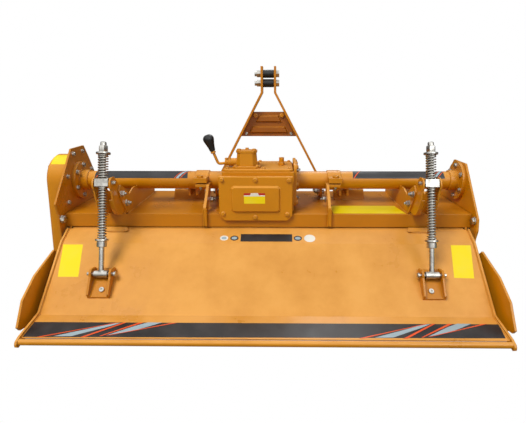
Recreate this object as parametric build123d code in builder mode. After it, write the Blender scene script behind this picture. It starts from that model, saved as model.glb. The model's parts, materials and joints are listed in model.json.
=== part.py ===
"""Rotavator (tractor-mounted rotary tiller) with a 1.75 m class body.

X runs across the machine (+X is the right side seen from behind), +Y points forward
to the tractor, +Z is up. The floor is z = 0, where the two skids stand.
Profiles in side view are given from the cross tube's axis, through at().
"""

import math
import os

from build123d import *

os.makedirs("parts", exist_ok=True)

# ---------------------------------------------------------------- driving dimensions (mm)
# trailing board's sheet in side view, from the cross tube's axis: edge, bend, knee, lip
board_line = ((-190, -173), (-263, -211), (-487, -414), (-606, -434))
lip_reach = 31  # end bars beyond the sheet's lip
rear_reach = lip_reach - board_line[3][0]  # cross tube's axis to the rearmost point
front_reach = 343  # cross tube's axis to the hood's nose
tube_y = (rear_reach - front_reach) / 2
tube_z = 642  # cross tube's axis above the floor
tube_d = 80
tube_wall = 6
body_half = 862  # machine's middle to a side plate's inner face
case_reach = 98  # a side plate's inner face to the gear case's and bearing cap's outer faces
overall_half = body_half + case_reach
plate = 8  # side plates, skids, brackets
sheet = 4  # hood and trailing board
run_gap = 0.4  # radial clearance of a turning fit

rotor_drop = 385  # cross tube's axis down to the rotor's axis
rotor_z = tube_z - rotor_drop
tip_r = 245  # rotor axis to the blades' tips

# hinge of the trailing board, from the cross tube's axis
hinge_y, hinge_z = -172, -182
hinge_rod_d = 12
knuckle_d = 22

# spring rods, from the cross tube's axis
rod_inset = 226  # a side plate's inner face to the spring rod beside it
rod_x = body_half - rod_inset
rod_eye = (-393, -290)  # centre of the lower pin
rod_block = (-289, 47)  # centre of the swivel block
rod_d = 20
spring_wire = 5
lower_spring_d = 31
upper_spring_d = 37
lower_spring_length = 203
upper_spring_length = 97
block_size = 30  # along the rod
block_width = 52
block_depth = 34
eye_pin_d = 14
eye_gap = 2.5  # the open pivot's radial clearance
eye_d = 28
eye_length = 52

# mast
mast_gap = 50  # between the two legs at the top link
mast_bar = 10
mast_depth = 60
mast_y = 120
mast_foot_x = 247
mast_top, mast_bend, mast_foot, mast_low = 500, 384, -33, -102
top_bolt_d = 22
spacer_d = 36
top_bolts = (468, 427)
top_bolt_stick = 28

# hitch
hitch_x = 412  # ball centre of each lower link
hitch_plates = (326, 360)  # near faces of each bracket's two plates
hitch_t = 10
hitch_foot = (312, 456)
hitch_pin_d = 28.4
hitch_pin_free = 72  # bare length for the link's ball
hitch_shoulder_d = 40
hitch_pin = (240, -45)


def at(y, z):
    """A point in side view, given from the cross tube's axis."""
    return (tube_y + y, tube_z + z)


def side_plane(x):
    """Side view plane at x: local x is +Y, local y is +Z, extrudes towards +X."""
    return Plane.YZ.offset(x)


finished = []


def keep(name, piece):
    """Label a finished piece and note it for export."""
    piece.label = name
    finished.append(piece)


rod_dir = Vector(0, rod_block[0] - rod_eye[0], rod_block[1] - rod_eye[1]).normalized()
rod_length_to_block = math.dist(rod_eye, rod_block)


def rod_plane(x, along):
    """Plane across a spring rod: z runs up the rod, along is measured up from its eye."""
    y, z = at(*rod_eye)
    origin = Vector(x, y, z) + rod_dir * along
    return Plane(origin=origin, x_dir=(1, 0, 0), z_dir=rod_dir)


# ---------------------------------------------------------------- cross tube
flange_d = 170
flange_t = 14
sleeve_d = 92
sleeve_length = 34
case_left = -190  # gearbox housing's left face
case_right = 112
box_flange_d = 90
box_flange_t = 12
for side, inner, outer in (("left", case_left, -body_half), ("right", case_right + 12, body_half)):
    towards = 1 if outer > 0 else -1
    with BuildPart() as cross_tube:
        with BuildSketch(side_plane(inner)):
            with Locations(at(0, 0)):
                Circle(tube_d / 2)
        extrude(amount=outer - inner)
        with BuildSketch(side_plane(outer)):
            with Locations(at(0, 0)):
                Circle(flange_d / 2)
        extrude(amount=-towards * flange_t)
        with BuildSketch(side_plane(outer - towards * flange_t)):
            with Locations(at(0, 0)):
                Circle(sleeve_d / 2)
        extrude(amount=-towards * sleeve_length)
        with BuildSketch(side_plane(inner)):
            with Locations(at(0, 0)):
                Circle(box_flange_d / 2)
        extrude(amount=towards * box_flange_t)
        with BuildSketch(side_plane(inner)):
            with Locations(at(0, 0)):
                Circle(tube_d / 2 - tube_wall)
        extrude(amount=outer - inner, mode=Mode.SUBTRACT)
    keep(f"cross_tube_{side}", cross_tube.part)

# ---------------------------------------------------------------- gearbox
case_rear, case_front = -160, 110
case_low, case_high = -100, 66
shaft_drop = 18  # cross tube's axis down to the input shaft's axis
shaft_z = tube_z - shaft_drop
shaft_r = 18
lid_t = 11
cover_left, cover_right = -200, 106
cover_low, cover_high = -136, 53
cover_stand = 21  # the cover's plate stands behind the housing, clear of the hood's beam
with BuildPart() as gearbox:
    with BuildSketch(side_plane(case_left)):
        with BuildLine():
            Polyline(
                at(case_rear, case_low),
                at(case_front, case_low),
                at(case_front, case_high - 26),
                at(case_front - 40, case_high),
                at(case_rear, case_high),
                close=True,
            )
        make_face()
    extrude(amount=case_right - case_left)
    # front bearing boss of the input shaft
    with BuildSketch(Plane.XZ.offset(-(tube_y + case_front))):
        with Locations((0, shaft_z)):
            Circle(54)
    extrude(amount=-36)
    # shaft's bore through the boss
    with BuildSketch(Plane.XZ.offset(-(tube_y + case_front + 36))):
        with Locations((0, shaft_z)):
            Circle(shaft_r + run_gap)
    extrude(amount=60, mode=Mode.SUBTRACT)
keep("gearbox_housing", gearbox.part)

with BuildPart() as gearbox_lid:
    with BuildSketch(Plane.XY.offset(tube_z + case_high)):
        with Locations(((case_left + case_right) / 2, tube_y + (case_rear + case_front - 40) / 2)):
            Rectangle(case_right - case_left - 8, case_front - 40 - case_rear - 6)
            chamfer(vertices(), 12)
    extrude(amount=lid_t)
    chamfer(gearbox_lid.faces().sort_by(Axis.Z)[-1].edges(), 3)
keep("gearbox_lid", gearbox_lid.part)

side_flange_t = 12
with BuildPart() as side_flange:
    with BuildSketch(side_plane(case_right)):
        with Locations(at((case_rear + case_front) / 2 - 10, 2)):
            RectangleRounded(210, 186, 26)
    extrude(amount=side_flange_t)
keep("gearbox_side_flange", side_flange.part)

with BuildPart() as rear_cover:
    with BuildSketch(Plane.XZ.offset(-(tube_y + case_rear - cover_stand))):
        with BuildLine():
            Polyline(
                (cover_left, tube_z + cover_high),
                (cover_right, tube_z + cover_high),
                (cover_right, tube_z + cover_low + 22),
                (cover_right - 22, tube_z + cover_low),
                (cover_left + 22, tube_z + cover_low),
                (cover_left, tube_z + cover_low + 22),
                close=True,
            )
        make_face()
    extrude(amount=14)
    # rim that meets the housing, above the hood's rear beam
    with BuildSketch(Plane.XZ.offset(-(tube_y + case_rear))):
        with Locations(((cover_left + cover_right) / 2, tube_z + (cover_high - 106) / 2)):
            RectangleRounded(cover_right - cover_left - 10, cover_high + 106 - 6, 12)
    extrude(amount=cover_stand)
    fillet(rear_cover.faces().sort_by(Axis.Y)[0].edges(), 4)
    with BuildSketch(Plane.XZ.offset(-(tube_y + case_rear - cover_stand - 14))):
        with Locations(((cover_left + cover_right) / 2, tube_z + (cover_low + cover_high) / 2)):
            Rectangle(204, 112)
            chamfer(vertices(), 10)
    extrude(amount=9, taper=35)
keep("gearbox_rear_cover", rear_cover.part)

tower_x, tower_y = -88, -100
with BuildPart() as tower:
    base = tube_z + case_high + lid_t
    with BuildSketch(Plane.XY.offset(base)):
        with Locations((tower_x, tube_y + tower_y)):
            Rectangle(116, 92)
    extrude(amount=8)
    chamfer(tower.edges().filter_by(Axis.Z), 16)
    with BuildSketch(Plane.XY.offset(base + 8)):
        with Locations((tower_x, tube_y + tower_y)):
            Rectangle(90, 70)
            chamfer(vertices(), 18)
    extrude(amount=56, taper=5)
    # top cap, held by two screws
    with BuildSketch(Plane.XY.offset(base + 64)):
        with Locations((tower_x, tube_y + tower_y)):
            Rectangle(88, 62)
            chamfer(vertices(), 14)
    extrude(amount=9)
    # pivot boss of the shift lever
    with BuildSketch(side_plane(tower_x - 68)):
        with Locations(at(tower_y, case_high + lid_t + 22)):
            Circle(17)
    extrude(amount=30)
keep("shift_tower", tower.part)

with BuildPart() as filler:
    with BuildSketch(Plane.XY.offset(tube_z + case_high + lid_t)):
        with Locations((60, tube_y - 50)):
            RegularPolygon(14, 6)
    extrude(amount=12)
    with BuildSketch(Plane.XY.offset(tube_z + case_high + lid_t + 12)):
        with Locations((60, tube_y - 50)):
            Circle(11)
    extrude(amount=22)
keep("breather_plug", filler.part)

# shift lever: an arm from the tower, bent up to its knob
lever_d = 12
lever_y = tube_y + tower_y
lever_points = [(-157, 97), (-211, 90), (-233, 146)]
with BuildPart() as lever:
    with BuildLine():
        FilletPolyline(
            *[(x, lever_y, tube_z + z) for x, z in lever_points],
            radius=16,
        )
    with BuildSketch(Plane(origin=(-157, lever_y, tube_z + 97), z_dir=(-54, 0, -7))):
        RegularPolygon(lever_d / 2, 8)
    sweep()
keep("shift_lever", lever.part)

knob_axis = Vector(-22, 0, 68).normalized()
knob_foot = Vector(lever_points[-1][0], lever_y, tube_z + lever_points[-1][1])
with BuildPart() as knob:
    # pear shape through four sections
    for along, radius in ((0, 12.5), (44, 23), (60, 20.5), (71, 11)):
        with BuildSketch(Plane(origin=knob_foot + knob_axis * along, x_dir=(0, 1, 0), z_dir=knob_axis)):
            RegularPolygon(radius, 12)
    loft(ruled=True)
keep("shift_knob", knob.part)

# splined input shaft
shaft_end = 290
with BuildPart() as input_shaft:
    with BuildSketch(Plane.XZ.offset(-(tube_y + case_front - 20))):
        with Locations((0, shaft_z)):
            Circle(shaft_r)
    extrude(amount=-(shaft_end - case_front + 20 - 90))
    with BuildSketch(Plane.XZ.offset(-(tube_y + shaft_end - 90))):
        with Locations((0, shaft_z)):
            Circle(shaft_r - 3.1)
            with PolarLocations(16, 6):
                Rectangle(3, 8.7)
    extrude(amount=-90)
keep("input_shaft", input_shaft.part)

guard_d = 128
with BuildPart() as guard:
    with BuildSketch(Plane.XZ.offset(-(tube_y + case_front))):
        with Locations((0, shaft_z)):
            Circle(guard_d / 2)
            Circle(guard_d / 2 - 4, mode=Mode.SUBTRACT)
    extrude(amount=-150)
keep("shaft_guard", guard.part)

# ---------------------------------------------------------------- side plates and gear case
bearing_hole_r = 62
plate_front = [(335, -160), (335, -250)]
plate_arc = [(232, -400), (0, -555), (-205, -400)]  # round the rotor's bearing
for side, sign in (("left", -1), ("right", 1)):
    if sign < 0:
        upper = [(-53, 148), (68, 149), (104, 94), (222, -112)]
        rear = [(-228, -157), (-226, -101), (-238, -55)]
    else:
        upper = [(-57, 85), (66, 85), (224, -112)]
        rear = [(-223, -203), (-235, -165), (-228, -117)]
    with BuildPart() as side_plate:
        with BuildSketch(side_plane(body_half if sign > 0 else -body_half - plate)):
            with BuildLine():
                Polyline(*[at(*point) for point in upper + plate_front + plate_arc[:1]])
                ThreePointArc(*[at(*point) for point in plate_arc])
                Polyline(*[at(*point) for point in plate_arc[2:] + rear + upper[:1]])
            make_face()
            with Locations(at(0, -rotor_drop)):
                Circle(bearing_hole_r, mode=Mode.SUBTRACT)
        extrude(amount=plate)
    keep(f"side_plate_{side}", side_plate.part)

stub_r = 25
bearing_depth = 62
cap_land = 22  # the cap's flange round its hole in the side plate
case_top_r, case_low_r = 118, 150
case_lid_t = 14
with BuildPart() as gear_case:
    with BuildSketch(side_plane(-body_half - plate)):
        with Locations(at(0, 0)):
            Circle(case_top_r)
        with Locations(at(0, -rotor_drop)):
            Circle(case_low_r)
        make_hull()
    extrude(amount=-(overall_half - case_lid_t - body_half - plate))
    with BuildSketch(side_plane(-body_half - plate)):
        with Locations(at(0, -rotor_drop)):
            Circle(bearing_hole_r - 1)
    extrude(amount=plate + 20)
    with BuildSketch(side_plane(-body_half + 20)):
        with Locations(at(0, -rotor_drop)):
            Circle(stub_r + run_gap)
    extrude(amount=-bearing_depth, mode=Mode.SUBTRACT)
keep("gear_case", gear_case.part)

with BuildPart() as gear_case_lid:
    with BuildSketch(side_plane(-overall_half + case_lid_t)):
        with Locations(at(0, 0)):
            Circle(case_top_r - 6)
        with Locations(at(0, -rotor_drop)):
            Circle(case_low_r - 6)
        make_hull()
    extrude(amount=-case_lid_t)
    chamfer(gear_case_lid.faces().sort_by(Axis.X)[0].edges(), 6)
keep("gear_case_lid", gear_case_lid.part)

with BuildPart() as bearing_cap:
    with BuildSketch(side_plane(body_half + plate)):
        with Locations(at(0, -rotor_drop)):
            Circle(bearing_hole_r + cap_land)
    extrude(amount=14)
    with BuildSketch(side_plane(body_half - 20)):
        with Locations(at(0, -rotor_drop)):
            Circle(bearing_hole_r - 1)
    extrude(amount=overall_half - body_half + 20)
    chamfer(bearing_cap.faces().sort_by(Axis.X)[-1].edges(), 8)
    with BuildSketch(side_plane(body_half - 20)):
        with Locations(at(0, -rotor_drop)):
            Circle(stub_r + run_gap)
    extrude(amount=bearing_depth, mode=Mode.SUBTRACT)
keep("bearing_cap", bearing_cap.part)

# ---------------------------------------------------------------- hood
beam_rear, beam_size = -179, 50
deck_z = -110
beam_low = -167
deck_front = 250  # the deck's front crease
fin_low = -178  # strip that closes the slit above the board's hinge
with BuildPart() as hood:
    with BuildSketch(side_plane(-body_half + 1)):
        with BuildLine() as hood_line:
            Polyline(
                at(beam_rear, beam_low),
                at(beam_rear, deck_z),
                at(deck_front, deck_z),
                at(front_reach, deck_z - 55),
                at(front_reach, deck_z - 150),
            )
            offset(amount=sheet, side=Side.RIGHT, kind=Kind.INTERSECTION)
        make_face()
    extrude(amount=2 * (body_half - 1))
    # beam's inner wall and floor under the rear edge of the deck
    with BuildSketch(side_plane(-body_half + 1)):
        with BuildLine():
            Polyline(
                at(beam_rear, beam_low),
                at(beam_rear + beam_size, beam_low),
                at(beam_rear + beam_size, deck_z - sheet),
                at(beam_rear + beam_size - sheet, deck_z - sheet),
                at(beam_rear + beam_size - sheet, beam_low + sheet),
                at(beam_rear + sheet, beam_low + sheet),
                at(beam_rear, beam_low + sheet),
                close=True,
            )
        make_face()
        with Locations(at(-149, (beam_low + fin_low) / 2 + 1)):
            Rectangle(4, beam_low - fin_low + 2)
    extrude(amount=2 * (body_half - 1))
keep("hood", hood.part)

# ---------------------------------------------------------------- saddles and hood hangers
saddle_x, saddle_width, saddle_wall = 296, 58, 5
lug_low, lug_high = 4, 26
pad_top, pad_t = -2, 12
web_t = 12
web_x = 262
web_low = beam_low + 7  # stays above the board's edge when the board is lifted
with BuildPart() as saddles:
    for sign in (-1, 1):
        with BuildSketch(side_plane(sign * saddle_x - saddle_width / 2)):
            with Locations(at(0, 0)):
                Circle(tube_d / 2 + saddle_wall)
            with Locations(at(-66, (lug_low + lug_high) / 2)):
                Rectangle(52, lug_high - lug_low)
            with Locations(at(0, 0)):
                Circle(tube_d / 2, mode=Mode.SUBTRACT)
        extrude(amount=saddle_width)
keep("tube_saddles", saddles.part)

with BuildPart() as hangers:
    for sign in (-1, 1):
        with BuildSketch(side_plane(sign * web_x - web_t / 2)):
            with BuildLine():
                Polyline(
                    at(-48, pad_top),
                    at(-92, pad_top),
                    at(-112, pad_top - 20),
                    at(beam_rear - 13, deck_z + 30),
                    at(beam_rear - 13, web_low),
                    at(beam_rear, web_low),
                    at(beam_rear, deck_z),
                    at(-140, deck_z),
                    at(-118, -76),
                    at(-58, -46),
                    close=True,
                )
            make_face()
        extrude(amount=web_t)
        pad_near, pad_far = web_x - web_t / 2, saddle_x + saddle_width / 2 - 8
        with BuildSketch(Plane.XY.offset(tube_z + pad_top)):
            with Locations((sign * (pad_near + pad_far) / 2, tube_y - 69)):
                Rectangle(pad_far - pad_near, 46)
        extrude(amount=-pad_t)
keep("hood_hangers", hangers.part)

# ---------------------------------------------------------------- lower hitch brackets
for side, sign in (("left", -1), ("right", 1)):
    with BuildPart() as hitch:
        for x in hitch_plates:
            with BuildSketch(side_plane(x if sign > 0 else -x - hitch_t)):
                with Locations(at(28, -24)):
                    Rectangle(48, 100)
                with Locations(at(*hitch_pin)):
                    Circle(32)
                make_hull()
                with Locations(at(0, 0)):
                    Circle(tube_d / 2, mode=Mode.SUBTRACT)
                with Locations(at(*hitch_pin)):
                    Circle(hitch_shoulder_d / 2 + 0.3, mode=Mode.SUBTRACT)
            extrude(amount=hitch_t)
        # foot bar on the hood's deck
        with BuildSketch(side_plane(sign * hitch_foot[0])):
            with BuildLine():
                Polyline(at(72, deck_z), at(98, -66), at(125, -66), at(125, deck_z), close=True)
            make_face()
        extrude(amount=sign * (hitch_foot[1] - hitch_foot[0]))
    keep(f"hitch_bracket_{side}", hitch.part)

with BuildPart() as hitch_pins:
    for sign in (-1, 1):
        shoulder = hitch_x - hitch_pin_free / 2
        with BuildSketch(side_plane(sign * (hitch_plates[0] - 6))):
            with Locations(at(*hitch_pin)):
                Circle(hitch_shoulder_d / 2)
        extrude(amount=sign * (shoulder - hitch_plates[0] + 6))
        with BuildSketch(side_plane(sign * shoulder)):
            with Locations(at(*hitch_pin)):
                Circle(hitch_pin_d / 2)
        extrude(amount=sign * hitch_pin_free)
keep("hitch_pins", hitch_pins.part)

# ---------------------------------------------------------------- mast
for side, sign in (("left", -1), ("right", 1)):
    with BuildPart() as leg:
        with BuildSketch(Plane.XZ.offset(-(tube_y + mast_y - mast_depth / 2))):
            with BuildLine():
                Polyline(
                    (sign * mast_gap / 2, tube_z + mast_top),
                    (sign * mast_gap / 2, tube_z + mast_bend),
                    (sign * mast_foot_x, tube_z + mast_foot),
                    (sign * mast_foot_x, tube_z + mast_low),
                )
                offset(amount=mast_bar, side=Side.LEFT if sign > 0 else Side.RIGHT, kind=Kind.INTERSECTION)
            make_face()
        extrude(amount=-mast_depth)
        with BuildSketch(side_plane(-80)):
            with Locations(*[at(mast_y, z) for z in top_bolts]):
                Circle(top_bolt_d / 2 + 0.3)
        extrude(amount=160, mode=Mode.SUBTRACT)
    keep(f"mast_leg_{side}", leg.part)

with BuildPart() as feet:
    for sign in (-1, 1):
        with BuildSketch(side_plane(sign * mast_foot_x)):
            with Locations(at(26, -22)):
                Rectangle(44, 76)
            with Locations(at(mast_y, (mast_foot + mast_low) / 2 - 2)):
                Rectangle(mast_depth, mast_foot - mast_low - 6)
            make_hull()
            with Locations(at(mast_y, mast_foot + 60)):
                Rectangle(mast_depth + 6, 120, mode=Mode.SUBTRACT)
            with Locations(at(0, 0)):
                Circle(tube_d / 2, mode=Mode.SUBTRACT)
        extrude(amount=-sign * 10)
keep("mast_feet", feet.part)

plate_top, plate_low = 299, 186
slope = (mast_foot_x - mast_gap / 2) / (mast_bend - mast_foot)
with BuildPart() as mast_plate:
    half_top = mast_gap / 2 + slope * (mast_bend - plate_top) - 0.2
    half_low = mast_gap / 2 + slope * (mast_bend - plate_low) - 0.2
    with BuildSketch(Plane.XZ.offset(-(tube_y + mast_y + 6))):
        with BuildLine():
            Polyline(
                (-half_top, tube_z + plate_top),
                (half_top, tube_z + plate_top),
                (half_low, tube_z + plate_low),
                (-half_low, tube_z + plate_low),
                close=True,
            )
        make_face()
    extrude(amount=-4)
    # two pressed panels
    panel_step = (plate_top - plate_low) / 2
    for low, inset in ((plate_low + 14, 30), (plate_low + panel_step + 8, 34)):
        high = low + panel_step - 24
        half_a = mast_gap / 2 + slope * (mast_bend - low) - inset
        half_b = mast_gap / 2 + slope * (mast_bend - high) - inset
        with BuildSketch(Plane.XZ.offset(-(tube_y + mast_y + 6))):
            with BuildLine():
                Polyline(
                    (-half_a, tube_z + low),
                    (half_a, tube_z + low),
                    (half_b, tube_z + high),
                    (-half_b, tube_z + high),
                    close=True,
                )
            make_face()
        extrude(amount=8, taper=35)
keep("mast_plate", mast_plate.part)

with BuildPart() as bolts:
    for z in top_bolts:
        with BuildSketch(side_plane(-mast_gap / 2 - mast_bar - top_bolt_stick)):
            with Locations(at(mast_y, z)):
                Circle(top_bolt_d / 2)
        extrude(amount=mast_gap + 2 * mast_bar + top_bolt_stick + 14)
        with BuildSketch(side_plane(mast_gap / 2 + mast_bar)):
            with Locations(at(mast_y, z)):
                RegularPolygon(17, 6)
        extrude(amount=14)
        with BuildSketch(side_plane(-mast_gap / 2 - mast_bar)):
            with Locations(at(mast_y, z)):
                RegularPolygon(17, 6)
        extrude(amount=-18)
keep("top_bolts", bolts.part)

with BuildPart() as spacers:
    for z in top_bolts:
        with BuildSketch(side_plane(-mast_gap / 2 + 0.5)):
            with Locations(at(mast_y, z)):
                Circle(spacer_d / 2)
                Circle(top_bolt_d / 2 + 0.5, mode=Mode.SUBTRACT)
        extrude(amount=mast_gap - 1)
keep("top_spacers", spacers.part)

# ---------------------------------------------------------------- spring rod brackets
arm_t = 6
arm_gap = block_width + 8
trunnion_d = 18
gusset_t = 6
lip_width = 12
arm_front = [(-262, 66), (-226, 26), (-244, 2), (-180, -92), (-200, -101)]
arm_back = [(-228, -101), (-256, -88), (-280, -60), (-294, -22)]
arm_crown = [(-303, 20), (-306, 54), (-286, 68)]
gusset_line = [
    (-222, 24),
    (-245, 2),
    (-216, -50),
    (-181, -98),
    (-168, deck_z),
    (222, deck_z),
    (226, -92),
    (52, -26),
    (0, -30),
    (-52, -18),
    (-84, -18),
    (-130, -34),
    (-180, 2),
]
for side, sign in (("left", -1), ("right", 1)):
    with BuildPart() as arm:
        for towards in (-1, 1):
            face = sign * rod_x + towards * arm_gap / 2
            with BuildSketch(side_plane(face)):
                with BuildLine():
                    Polyline(*[at(*point) for point in arm_front + arm_back])
                    Line(at(*arm_back[-1]), at(*arm_crown[0]))
                    ThreePointArc(*[at(*point) for point in arm_crown])
                    Line(at(*arm_crown[-1]), at(*arm_front[0]))
                make_face()
                with Locations(at(*rod_block)):
                    Circle(trunnion_d / 2 + 0.3, mode=Mode.SUBTRACT)
            extrude(amount=towards * arm_t)
            # stiffening lip along the arm's rear edge
            with BuildSketch(side_plane(face - towards * lip_width)):
                with BuildLine():
                    Polyline(*[at(*p) for p in arm_back])
                    offset(amount=5, side=Side.RIGHT, kind=Kind.INTERSECTION)
                make_face()
            extrude(amount=towards * lip_width)
    keep(f"rod_arm_{side}", arm.part)

    with BuildPart() as gusset:
        for towards in (-1, 1):
            face = sign * rod_x + towards * (arm_gap / 2 + arm_t)
            with BuildSketch(side_plane(face)):
                with BuildLine():
                    Polyline(*[at(*p) for p in gusset_line], close=True)
                make_face()
                with Locations(at(0, 0)):
                    Circle(tube_d / 2, mode=Mode.SUBTRACT)
            extrude(amount=towards * gusset_t)
    keep(f"rod_gusset_{side}", gusset.part)

# ---------------------------------------------------------------- spring rods
washer_t = 7
collar_t = 24
block_low = rod_length_to_block - block_size / 2
block_high = rod_length_to_block + block_size / 2
nut_t = 38
for side, sign in (("left", -1), ("right", 1)):
    x = sign * rod_x
    with BuildPart() as block:
        with BuildSketch(rod_plane(x, block_low)):
            Rectangle(block_width, block_depth)
            Circle(rod_d / 2 + 0.5, mode=Mode.SUBTRACT)
        extrude(amount=block_size)
        for towards in (-1, 1):
            with BuildSketch(side_plane(x + towards * block_width / 2)):
                with Locations(at(*rod_block)):
                    Circle(trunnion_d / 2)
            extrude(amount=towards * (arm_gap / 2 + arm_t - block_width / 2))
    keep(f"swivel_block_{side}", block.part)

    top_washer = block_high + upper_spring_length
    with BuildPart() as rod:
        with BuildSketch(rod_plane(x, 0)):
            Circle(rod_d / 2)
        extrude(amount=top_washer + washer_t + nut_t)
        with BuildSketch(side_plane(x - eye_length / 2)):
            with Locations(at(*rod_eye)):
                Circle(eye_d / 2)
        extrude(amount=eye_length)
        with BuildSketch(side_plane(x - eye_length / 2)):
            with Locations(at(*rod_eye)):
                Circle(eye_pin_d / 2 + eye_gap)
        extrude(amount=eye_length, mode=Mode.SUBTRACT)
        with BuildSketch(rod_plane(x, top_washer)):
            Circle(27)
        extrude(amount=washer_t)
        with BuildSketch(rod_plane(x, top_washer + washer_t)):
            RegularPolygon(18.5, 6)
        extrude(amount=nut_t - 13)
        with BuildSketch(rod_plane(x, block_low - lower_spring_length)):
            Circle(25)
        extrude(amount=-washer_t)
        with BuildSketch(rod_plane(x, block_low - lower_spring_length - washer_t)):
            RegularPolygon(19, 6)
        extrude(amount=-collar_t)
    keep(f"spring_rod_{side}", rod.part)

    for name, low, length, outside in (
        ("lower", block_low - lower_spring_length, lower_spring_length, lower_spring_d),
        ("upper", block_high, upper_spring_length, upper_spring_d),
    ):
        with BuildPart() as spring:
            with BuildSketch(rod_plane(x, low)):
                RegularPolygon(outside / 2, 16)
                RegularPolygon(outside / 2 - spring_wire, 16, mode=Mode.SUBTRACT)
            extrude(amount=length)
        keep(f"{name}_spring_{side}", spring.part)

# ---------------------------------------------------------------- trailing board
board_gap = 12  # board's end to the side plate
board_half = body_half - board_gap
flange_bar = 8
bead_r = 11
bead_z = -442
bead_offset = 14  # from the sheet's lip to the bead's middle
bar_over, bar_under = 9, 17  # end bars above and below the board's line
lip_y, lip_z = board_line[3]
leaf_length, leaf_width = 92, 22
leaf_line = (board_line[0], board_line[1])
leaf_normal = (0, leaf_line[1][1] - leaf_line[0][1], leaf_line[0][0] - leaf_line[1][0])
with BuildPart() as board:
    with BuildSketch(side_plane(-board_half + flange_bar)):
        with BuildLine():
            Polyline(*[at(*point) for point in board_line])
            offset(amount=sheet, side=Side.LEFT, kind=Kind.INTERSECTION)
        make_face()
        with Locations(at(lip_y - bead_offset, bead_z)):
            Circle(bead_r)
    extrude(amount=2 * (board_half - flange_bar))
    # knuckle rolled round the hinge rod
    with BuildSketch(side_plane(-board_half + 18)):
        with Locations(at(hinge_y, hinge_z)):
            Circle(knuckle_d / 2)
        with BuildLine():
            edge_y, edge_z = board_line[0]
            Polyline(
                at(hinge_y, hinge_z - knuckle_d / 2 + 1),
                at(edge_y - sheet, edge_z - 7),
                at(edge_y, edge_z),
                at(hinge_y, hinge_z + knuckle_d / 2 - 1),
                close=True,
            )
        make_face()
        with Locations(at(hinge_y, hinge_z)):
            Circle(hinge_rod_d / 2 + run_gap, mode=Mode.SUBTRACT)
    extrude(amount=2 * (board_half - 18))
    for x in (-board_half, board_half - flange_bar):
        with BuildSketch(side_plane(x)):
            with BuildLine():
                Polyline(
                    at(edge_y - 6, edge_z + 5),
                    *[at(y, z + bar_over) for y, z in board_line[1:3]],
                    at(lip_y - 6, lip_z + bar_over - 1),
                    at(lip_y - lip_reach + 5, lip_z),
                    at(-rear_reach, bead_z),
                    at(-rear_reach, bead_z - 10),
                    at(lip_y - lip_reach + 9, bead_z - bar_under),
                    at(lip_y + 6, bead_z - 10),
                    *[at(y + 5, z - bar_under) for y, z in board_line[2:0:-1]],
                    at(edge_y - 6, edge_z - 19),
                    close=True,
                )
            make_face()
        extrude(amount=flange_bar)
    # leaves welded on near the upper edge
    for sign in (-1, 1):
        corner = (sign * rod_x, *at(*leaf_line[0]))
        with BuildSketch(Plane(origin=corner, x_dir=(1, 0, 0), z_dir=leaf_normal)):
            with BuildLine():
                half = leaf_length / 2
                narrow = half - 14
                Polyline((-half, 0), (half, 0), (narrow, -leaf_width), (-narrow, -leaf_width), close=True)
            make_face()
        extrude(amount=5)
keep("trailing_board", board.part)

clevis_t = 8
clevis_width = 84
clevis_up, clevis_down = 34, 88  # from the pin, along the board
ear_height = 56
board_bend, board_knee = board_line[1], board_line[2]
board_slope = Vector(0, board_knee[0] - board_bend[0], board_knee[1] - board_bend[1]).normalized()
board_normal = Vector(0, -board_slope.Z, board_slope.Y)
if board_normal.Z < 0:
    board_normal = board_normal * -1
eye_y, eye_z = at(*rod_eye)
bend_y, bend_z = at(*board_bend)
to_eye = Vector(0, eye_y - bend_y, eye_z - bend_z)
eye_height = to_eye.dot(board_normal)
clevis_foot = Vector(0, bend_y, bend_z) + board_slope * to_eye.dot(board_slope)
clevis_pair = []
for sign in (-1, 1):
    foot = clevis_foot + Vector(sign * rod_x, 0, 0)
    with BuildPart() as one_clevis:
        # U section swept down the board
        with BuildSketch(Plane(origin=foot - board_slope * clevis_up, x_dir=(1, 0, 0), z_dir=board_slope)):
            with Locations((0, ear_height / 2)):
                Rectangle(clevis_width, ear_height)
            with Locations((0, ear_height / 2 + clevis_t)):
                Rectangle(clevis_width - 2 * clevis_t, ear_height, mode=Mode.SUBTRACT)
        extrude(amount=clevis_up + clevis_down)
        # ears: high at the pin, low at the foot
        with BuildSketch(Plane(origin=foot - Vector(60, 0, 0), x_dir=board_slope, z_dir=(1, 0, 0))):
            with BuildLine():
                Polyline(
                    (-clevis_up, 0),
                    (clevis_down, 0),
                    (clevis_down - 6, -22),
                    (16, -eye_height - 9),
                    (4, -eye_height - 18),
                    (-12, -eye_height - 16),
                    (-clevis_up, -18),
                    close=True,
                )
            make_face()
            with Locations((0, -eye_height)):
                Circle(eye_pin_d / 2 + 0.2, mode=Mode.SUBTRACT)
        extrude(amount=120, mode=Mode.INTERSECT)
    clevis_pair.append(one_clevis.part)
with BuildPart() as clevises:
    add(clevis_pair)
keep("clevises", clevises.part)

with BuildPart() as eye_pins:
    for sign in (-1, 1):
        with BuildSketch(side_plane(sign * rod_x - clevis_width / 2 - 12)):
            with Locations((eye_y, eye_z)):
                Circle(eye_pin_d / 2)
        extrude(amount=clevis_width + 24)
keep("eye_pins", eye_pins.part)

with BuildPart() as hinge_rod:
    with BuildSketch(side_plane(-board_half + 4)):
        with Locations(at(hinge_y, hinge_z)):
            Circle(hinge_rod_d / 2)
    extrude(amount=2 * (board_half - 4))
keep("hinge_rod", hinge_rod.part)

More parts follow.
